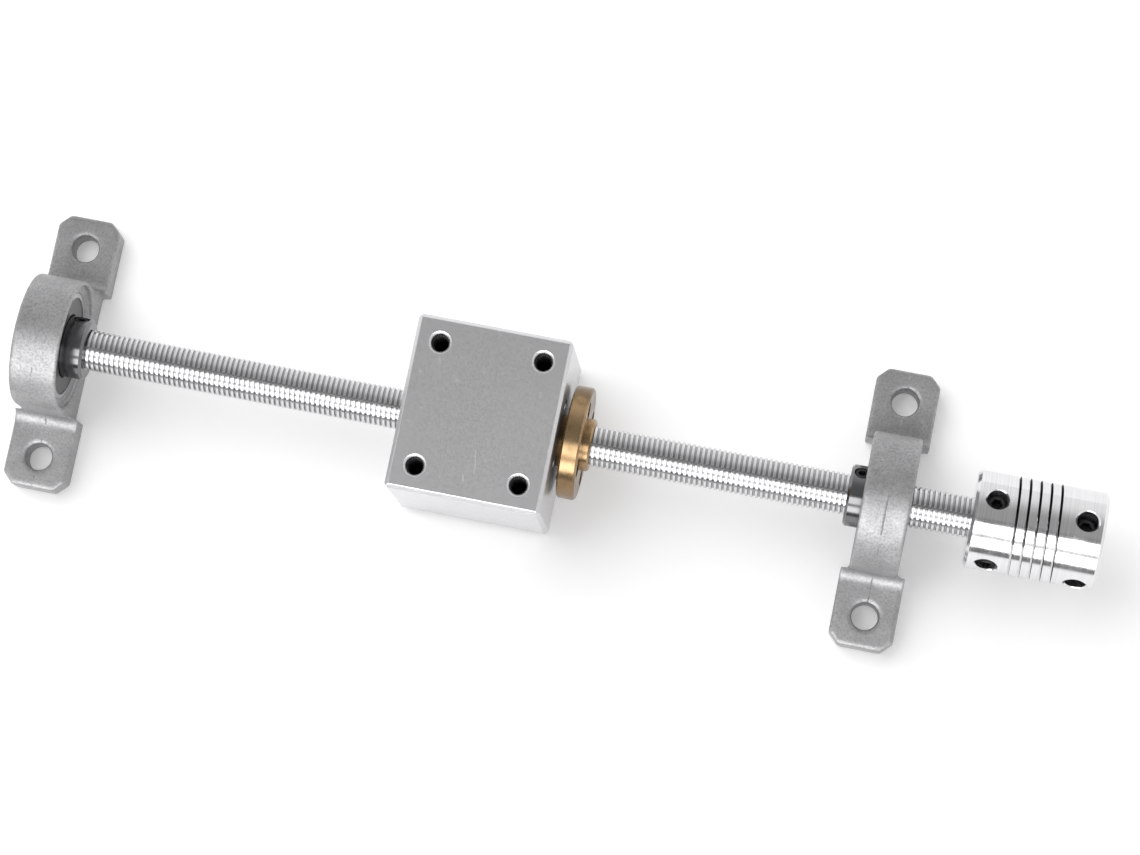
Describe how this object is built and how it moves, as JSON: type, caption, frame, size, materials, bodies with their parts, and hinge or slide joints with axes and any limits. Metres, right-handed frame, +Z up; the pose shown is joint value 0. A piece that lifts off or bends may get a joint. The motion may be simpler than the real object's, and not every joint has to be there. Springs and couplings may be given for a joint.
{
  "type": "trapezoidal lead screw drive",
  "caption": "Trapezoidal lead screw in pillow block bearings, with a nut block, a flanged brass nut and a helical slit flexible coupling.",
  "frame": {"origin": "centre of the four foot holes, on the plane that the feet stand on", "axes": "+X along the screw towards the coupling, +Y across the screw, +Z up"},
  "size_m": [0.2127, 0.055, 0.029],
  "materials": {
    "cast_zinc": "satin die-cast zinc",
    "ring_steel": "ground bearing steel",
    "collar_steel": "ground bearing steel",
    "ball_steel": "polished bearing steel",
    "cage_steel": "pressed steel",
    "shield_steel": "dull pressed steel",
    "black_steel": "black oxide",
    "screw_steel": "rolled steel with a light sheen",
    "block_aluminium": "milled and lightly blasted",
    "nut_brass": "turned brass",
    "coupling_aluminium": "turned and clear anodised"
  },
  "bodies": {
    "supports": {"left_housing": "cast_zinc", "right_housing": "cast_zinc", "left_outer_ring": "ring_steel", "right_outer_ring": "ring_steel", "left_collar_shield": "shield_steel", "left_end_shield": "shield_steel", "right_collar_shield": "shield_steel", "right_end_shield": "shield_steel"},
    "screw": {"lead_screw": "screw_steel", "left_inner_ring": "collar_steel", "right_inner_ring": "collar_steel", "left_set_screws": "black_steel", "right_set_screws": "black_steel", "coupling": "coupling_aluminium", "screw_side_set_screws": "black_steel", "motor_side_set_screws": "black_steel"},
    "carriage": {"nut_block": "block_aluminium", "brass_nut": "nut_brass"},
    "left_roller_set": {"left_balls": "ball_steel", "left_cage": "cage_steel"},
    "right_roller_set": {"right_balls": "ball_steel", "right_cage": "cage_steel"}
  },
  "joints": [
    {"name": "nut_travel", "type": "slide", "parent": "supports", "child": "carriage", "axis": [1, 0, 0], "range_m": [-0.063, 0.0488]},
    {"name": "screw_spin", "type": "hinge", "parent": "supports", "child": "screw", "pos_m": [0, 0, 0.015], "axis": [1, 0, 0], "range_deg": [-17569, 22681]},
    {"name": "left_cage_spin", "type": "hinge", "parent": "supports", "child": "left_roller_set", "pos_m": [-0.0825, 0, 0.015], "axis": [1, 0, 0], "range_deg": [-6490, 8378]},
    {"name": "right_cage_spin", "type": "hinge", "parent": "supports", "child": "right_roller_set", "pos_m": [0.0825, 0, 0.015], "axis": [1, 0, 0], "range_deg": [-6490, 8378]}
  ],
  "couplings": [
    {"joint": "screw_spin", "follows": "nut_travel", "rad_per_m": -6283.2},
    {"joint": "left_cage_spin", "follows": "nut_travel", "rad_per_m": -2320.5},
    {"joint": "right_cage_spin", "follows": "nut_travel", "rad_per_m": -2320.5}
  ]
}
